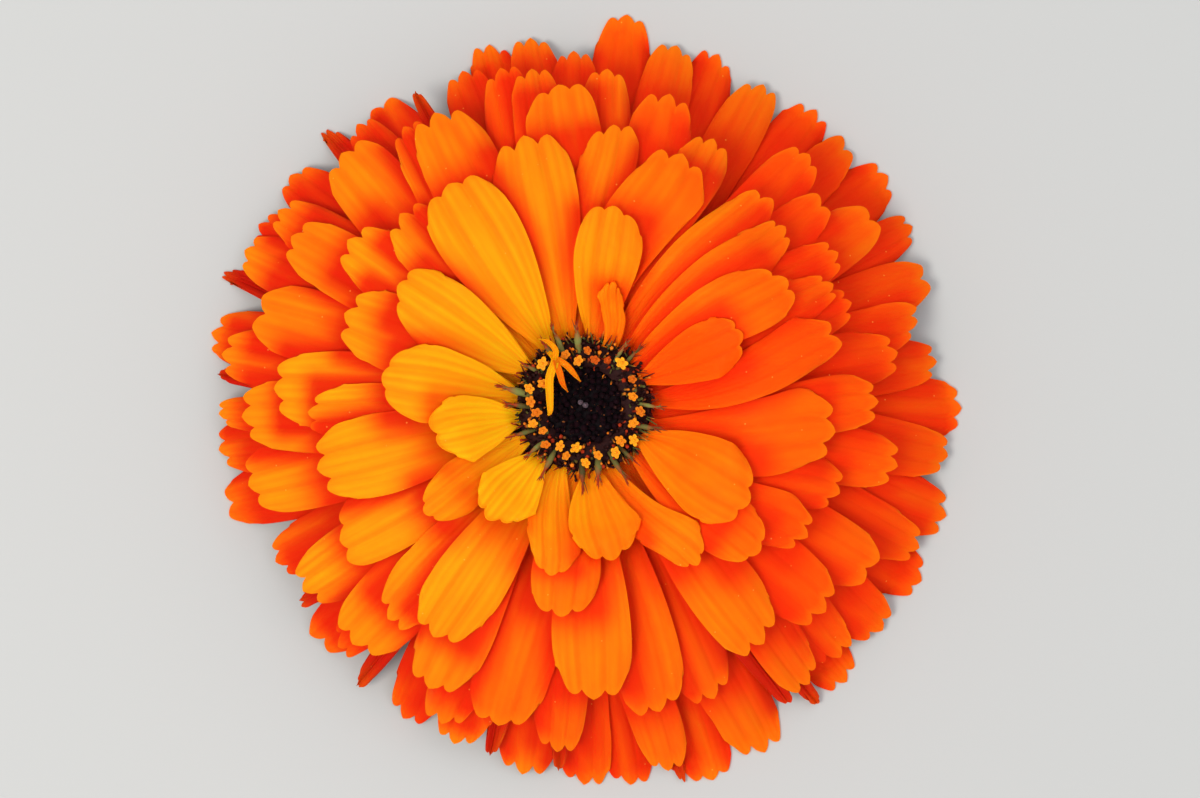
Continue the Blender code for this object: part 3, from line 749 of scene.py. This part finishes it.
# Azimuth of each pistil and how far its tip reaches.
PISTILS = (
    (2, 8.1), (45, 8.4), (55, 7.7), (95, 8.3), (111, 8.7), (121, 7.9), (143, 7.5), (169.5, 8.9), (182, 7.7),
    (207, 8.3), (222, 7.9), (238, 8.5), (268, 8.8), (286, 8.1), (298, 8.9), (310, 8.0), (338, 8.3),
)


PISTIL_ROOT, PISTIL_OVERHANG, BRISTLES = 5.2, 0.5, 9
PISTIL_PROFILE = (
    (0, 0.2), (0.2, 0.34), (0.4, 0.36), (0.58, 0.24), (0.66, 0.13), (0.78, 0.14), (0.9, 0.1), (1, 0.01),
)
BRISTLE_PROFILE = ((0, 0.05), (0.7, 0.05), (1, 0.01))


def rounded(surface, foot, tip, radii, sides=8, **marks):
    """Adds a tube of changing radius from foot to tip, closed at its last ring."""
    run = tip - foot
    length = np.linalg.norm(run)
    along = run / length
    first = np.cross(along, (0.3, 0.2, 1.0) if abs(along[2]) < 0.9 else (1.0, 0.1, 0.0))
    first /= np.linalg.norm(first)
    second = np.cross(along, first)
    turn = np.linspace(0, 2 * math.pi, sides, endpoint=False)
    around = np.cos(turn)[:, None] * first + np.sin(turn)[:, None] * second
    shares = np.array([share for share, _ in radii])
    rings = np.array([foot + run * share + around * radius for share, radius in radii])
    surface.add(rings[:, ::-1], closed=True, along=shares[:, None], **marks)


def closed_disc_florets(seat, finish, chance):
    """Dark buds packed in a sunflower spiral on a low dome, the middle ones paler as a painted highlight."""
    surface = Surface("shade", "pale")
    floor = seat + SEAT_GAP
    plate = np.linspace(0.001, PLATE_RADIUS, 9)
    turn = np.linspace(0, 2 * math.pi, 36, endpoint=False)
    top = floor + PLATE_HEIGHT
    grid = np.array([[at(radius, t, top - PLATE_SINK * radius**2) for t in turn] for radius in plate])
    skirt = np.array([[at(PLATE_RADIUS, t, floor) for t in turn]])
    surface.add(np.concatenate([grid, skirt]), closed=True, shade=0.0, pale=0.0)
    for number in range(CLOSED_FLORETS):
        radius = CLOSED_SPACING * math.sqrt(number + 0.3) + chance.normal(0, 0.05)
        azimuth = number * GOLDEN_ANGLE + chance.normal(0, 0.04)
        height = 0.95 - 0.03 * radius**2 + chance.normal(0, 0.14)
        foot = at(radius, azimuth, floor + 0.4)
        tip = at(radius * 1.04 + chance.normal(0, 0.06), azimuth + chance.normal(0.02, 0.03), top + height)
        size = chance.uniform(0.22, 0.33)
        waist = chance.uniform(0.9, 1.15)
        radii = (
            (0, 0.8 * size), (0.4, size), (0.68, waist * size), (0.82, 0.8 * size), (0.88, 0.45 * size),
            (0.94, 0.5 * size), (1, 0.02),
        )
        rounded(surface, foot, tip, radii, shade=chance.random(), pale=1.0 if number < PAINTED_HIGHLIGHT_FLORETS else 0.0)
    place(surface.made("fine_closed_disc_florets", [finish]), "closed_disc", "closed_disc_florets")


# Up the tube, out over the lobes, back under the throat and up the anthers: share of the height,
# radius of the neck and how much the lobes spread.
STAR_PROFILE = (
    (0.0, 0.16, 0.0), (0.4, 0.17, 0.0), (0.75, 0.22, 0.0), (0.92, 0.26, 0.15), (0.99, 0.26, 0.6),
    (0.97, 0.26, 1.0), (0.90, 0.24, 0.97), (0.93, 0.2, 0.5), (0.90, 0.13, 0.1), (1.0, 0.12, 0.0),
    (1.08, 0.08, 0.0), (1.09, 0.01, 0.0),
)


def star(surface, azimuth, radius, floor, shade, chance):
    """An open disc floret: a slender tube that flares into five rounded lobes round its anthers."""
    height = 1.8 + 0.5 * chance.random()
    lean = 0.10 + 0.10 * chance.random()
    turn = np.linspace(0, 2 * math.pi, 30, endpoint=False) + chance.uniform(0, 2)
    lobe = 0.2 + 0.8 * np.abs(np.cos(2.5 * turn)) ** 0.7
    lobe = lobe * (1 + 0.3 * np.sin(turn * 2 + chance.uniform(0, 6)))
    size = (0.40 + 0.18 * shade) * chance.uniform(0.85, 1.15)
    tip_x, tip_y = chance.normal(0, 0.25, 2)
    rings = []
    for share, neck, spread in STAR_PROFILE:
        reach = neck + spread * (size - neck) * lobe
        tipped = reach * (tip_x * np.cos(turn) + tip_y * np.sin(turn))
        up = floor + height * share + spread * (0.05 * lobe + tipped)
        middle = radius + lean * height * share
        x = middle * math.cos(azimuth) + reach * np.cos(turn)
        y = middle * math.sin(azimuth) + reach * np.sin(turn)
        rings.append(np.stack([x, y, up * np.ones_like(x)], axis=-1))
    shares = np.array([[share] for share, *_ in STAR_PROFILE])
    surface.add(np.array(rings)[:, ::-1], closed=True, shade=shade, height=shares)


BED_INNER, BED_OUTER, BED_FRAY, BED_FLORETS = 3.7, 6.5, 0.7, 420
BED_INNER_HEIGHT, BED_OUTER_HEIGHT, BED_HAIRS = 0.7, 0.45, 105
HAIR_PROFILE = ((0, 0.09), (0.6, 0.07), (0.9, 0.05), (1, 0.01))


def disc_bed(floor, look, chance):
    """The dark base of the ring: a low plate crowded with florets that are spent or not yet open."""
    surface = Surface("shade", "along")
    turn = np.linspace(0, 2 * math.pi, 48, endpoint=False)
    profile = (
        (BED_INNER, 0.0), (BED_INNER, BED_INNER_HEIGHT), (BED_OUTER, BED_OUTER_HEIGHT), (BED_OUTER, 0.0),
    )
    grid = np.array([[at(radius, t, floor + up) for t in turn] for radius, up in profile])
    surface.add(grid[:, ::-1], closed=True, shade=0.1, along=0.0)
    for number in range(BED_FLORETS):
        share = (number + 0.5) / BED_FLORETS
        radius = math.sqrt(BED_INNER**2 + share * (BED_OUTER**2 - BED_INNER**2)) + chance.normal(0, 0.12)
        azimuth = number * GOLDEN_ANGLE + chance.normal(0, 0.06)
        height, size = chance.uniform(0.5, 1.5), chance.uniform(0.07, 0.19)
        lean = chance.normal(0.25 + 0.2 * BED_FRAY * share, 0.35)
        foot = at(radius, azimuth, floor + 0.3)
        tip = at(radius + lean, azimuth + chance.normal(0, 0.07), floor + 0.3 + height)
        mouth = chance.uniform(0.7, 1.5) * size
        radii = (
            (0, 0.8 * size), (0.45, size), (0.7, 0.7 * size), (0.85, mouth), (0.95, 0.8 * mouth), (1, 0.02),
        )
        rounded(surface, foot, tip, radii, sides=5, shade=chance.random())
    for _ in range(BED_HAIRS):
        azimuth, radius = chance.uniform(0, 2 * math.pi), BED_OUTER - chance.uniform(0.1, 0.7)
        foot = at(radius, azimuth, floor + 0.8)
        reach, turned = radius + chance.uniform(0.4, BED_FRAY + 0.6), azimuth + chance.normal(0, 0.05)
        tip = at(reach, turned, floor + chance.uniform(1.2, 2.0))
        rounded(surface, foot, tip, HAIR_PROFILE, sides=4, shade=chance.uniform(0.3, 1.0))
    place(surface.made("disc_ring_bed", [look]), "open_disc", "open_disc_florets")


def open_disc_florets(seat, top_layer, star_look, pistil_look, bed_look, chance):
    """The ring of open florets round the buds, and the pistils that stand out between the ray florets."""
    floor = seat + SEAT_GAP
    stars = Surface("shade", "height")
    for degrees, radius, shade in OPEN_STARS:
        star(stars, math.radians(degrees), radius - 0.3, floor, shade, chance)
    place(stars.made("fine_open_disc_florets", [star_look]), "open_disc", "open_disc_florets")
    disc_bed(floor, bed_look, chance)
    pistils = Surface("along", "shade")
    for degrees, reach in PISTILS:
        azimuth, girth = math.radians(degrees), chance.uniform(0.5, 1.1)
        foot = at(PISTIL_ROOT, azimuth, floor + 0.6)
        turned = azimuth + chance.normal(0, 0.05)
        tip = at(reach, turned, layer_height(reach + PISTIL_OVERHANG, top_layer) + chance.uniform(0.4, 1.1))
        shade = chance.random()
        radii = [(share, girth * radius) for share, radius in PISTIL_PROFILE]
        rounded(pistils, foot, tip, radii, shade=shade)
        for _ in range(BRISTLES):
            shares = chance.uniform(0.45, 0.8), chance.uniform(0.85, 1.0)
            near, far = (foot + (tip - foot) * share for share in shares)
            rounded(pistils, near, far + chance.normal(0, 0.22, 3), BRISTLE_PROFILE, sides=4, shade=shade)
    place(pistils.made("ray_floret_pistils", [pistil_look]), "open_disc", "open_disc_florets")


CURLED_HEIGHT, CURLED_THICKNESS, CURLED_CUP = 2.35, 0.12, 0.12
STRAP_LENGTH_POINTS, STRAP_WIDTH_POINTS = 16, 5

# How folded each strap is, and its stops: azimuth, radius, rise and half width.
CURLED_STRAPS = (
    (0.0, (
        (124, 6.4, -0.9, 0.16), (122, 5.2, 0.1, 0.40), (140, 4.3, 0.2, 0.42), (165, 3.4, 0.15, 0.38),
        (190, 3.3, 0.0, 0.28), (196, 3.6, -0.15, 0.08),
    )),
    (0.8, ((122, 5.2, 0.15, 0.30), (126, 4.0, 0.3, 0.34), (134, 2.9, 0.3, 0.26), (140, 2.0, 0.1, 0.03))),
    (0.6, ((120, 5.2, 0.1, 0.28), (113, 4.2, 0.25, 0.32), (106, 3.1, 0.3, 0.24), (97, 2.3, 0.15, 0.03))),
    (0.3, ((122, 5.2, 0.0, 0.24), (117, 6.0, 0.35, 0.3), (119, 7.0, 0.5, 0.22), (124, 7.8, 0.3, 0.03))),
)


def curled_disc_floret(seat, finishes):
    """A lone strap-like floret that has curled over and lies across the disc."""
    height = seat + SEAT_GAP + CURLED_HEIGHT
    surface = Surface(*PETAL_MARKS)
    share = np.linspace(0, 1, STRAP_LENGTH_POINTS)
    v = np.linspace(-1, 1, STRAP_WIDTH_POINTS)
    for folded, stops in CURLED_STRAPS:
        points = [(*at(radius, math.radians(turn), height + up), half) for turn, radius, up, half in stops]
        spine = smooth_run(points, share)
        run = np.gradient(spine[:, :2], axis=0)
        side = np.stack([-run[:, 1], run[:, 0]], axis=-1) / np.linalg.norm(run, axis=1)[:, None]
        grid = np.zeros((STRAP_LENGTH_POINTS, STRAP_WIDTH_POINTS, 3))
        grid[:, :, :2] = spine[:, None, :2] + (side * spine[:, 3:4])[:, None, :] * v[None, :, None]
        grid[:, :, 2] = spine[:, 2:3] + CURLED_CUP * v[None, :] ** 2
        # Painted light and painted shade on each strap follow how folded it is.
        surface.add(
            grid, across=v[None, :] * 0.5, along=share[:, None] * 0.9, shade=0.5, sunny=1.0 - folded,
            folded=folded * 0.2, tucked=folded * 0.5, outward=0.0, core=0.5,
        )
    obj = surface.made("fine_curled_disc_floret", finishes, CURLED_THICKNESS)
    place(obj, "curled_floret", "curled_disc_floret")


def dress(node, look):
    """Gives a frame node that stays visible its own finish."""
    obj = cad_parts[node]
    obj.data.materials.clear()
    obj.data.materials.append(look)


# ---- Studio ----


def floor():
    half = 1.2
    corners = [(-half, -half, 0), (half, -half, 0), (half, half, 0), (-half, half, 0)]
    mesh = bpy.data.meshes.new("floor")
    mesh.from_pydata(corners, [], [(0, 1, 2, 3)])
    pale = Finish("pale_floor", Roughness=0.8)
    mesh.materials.append(pale.wear(rgb(0.50, 0.50, 0.49)))
    obj = bpy.data.objects.new("floor", mesh)
    bpy.context.scene.collection.objects.link(obj)


def lamp(name, azimuth, elevation, distance, size, watts, color):
    """A soft square light that faces the head."""
    data = bpy.data.lights.new(name, "AREA")
    data.size, data.energy, data.color = size, watts, color
    obj = bpy.data.objects.new(name, data)
    bpy.context.scene.collection.objects.link(obj)
    azimuth, elevation = math.radians(azimuth), math.radians(elevation)
    flat = distance * math.cos(elevation)
    obj.location = (flat * math.cos(azimuth), flat * math.sin(azimuth), distance * math.sin(elevation))
    obj.rotation_euler = (0, math.pi / 2 - elevation, azimuth)


def studio():
    """A pale floor, an even grey-white surround, and two soft lamps from high up."""
    floor()
    world = bpy.context.scene.world or bpy.data.worlds.new("studio")
    bpy.context.scene.world = world
    world.use_nodes = True
    background = world.node_tree.nodes["Background"]
    background.inputs["Color"].default_value = rgb(0.95, 0.97, 1.0)
    background.inputs["Strength"].default_value = 0.88
    bpy.context.scene.view_settings.view_transform = "Standard"
    lamp("key", azimuth=205, elevation=64, distance=0.7, size=0.26, watts=2.5, color=(1.0, 0.97, 0.90))
    lamp("fill", azimuth=40, elevation=65, distance=0.9, size=0.6, watts=0.9, color=(0.94, 0.97, 1.0))


def camera():
    """Looks straight down on the face of the flower through a long lens."""
    frame_width, height_over_head, aim_height = 0.1178, 0.60, 0.010
    aim_right, aim_up, sensor_width = 1.6, 0.6, 36.0
    data = bpy.data.cameras.new("camera")
    data.sensor_width = sensor_width
    data.lens = sensor_width * height_over_head / frame_width
    obj = bpy.data.objects.new("camera", data)
    bpy.context.scene.collection.objects.link(obj)
    obj.location = ((AXIS_X + aim_right) * MM, (AXIS_Y + aim_up) * MM, aim_height + height_over_head)
    bpy.context.scene.camera = obj


def main():
    chance = np.random.default_rng(7)
    petals = [petal_finish("petal_face", False), petal_finish("petal_reverse", True)]
    top_layer, strip_layer = ray_florets(petals)
    seat = layer_height(WHORLS[-1].root, strip_layer) - SEAT_GAP
    closed_disc_florets(seat, bud_finish(), chance)
    open_disc_florets(seat, top_layer, star_finish(), pistil_finish(), bed_finish(), chance)
    curled_disc_floret(seat, petals)
    inner_green = bract_finish("inner_bract_green", rgb(0.10, 0.20, 0.04), rgb(0.20, 0.34, 0.08))
    outer_green = bract_finish("outer_bract_green", rgb(0.08, 0.17, 0.035), rgb(0.18, 0.30, 0.07))
    bract_row("inner_bracts", 0.0, 0.0, inner_green, chance)
    bract_row("outer_bracts", 0.5, BRACT_ROW_GAP, outer_green, chance)
    dress("stem_stub", stem_finish())
    dress("receptacle", receptacle_finish())
    studio()
    camera()


main()
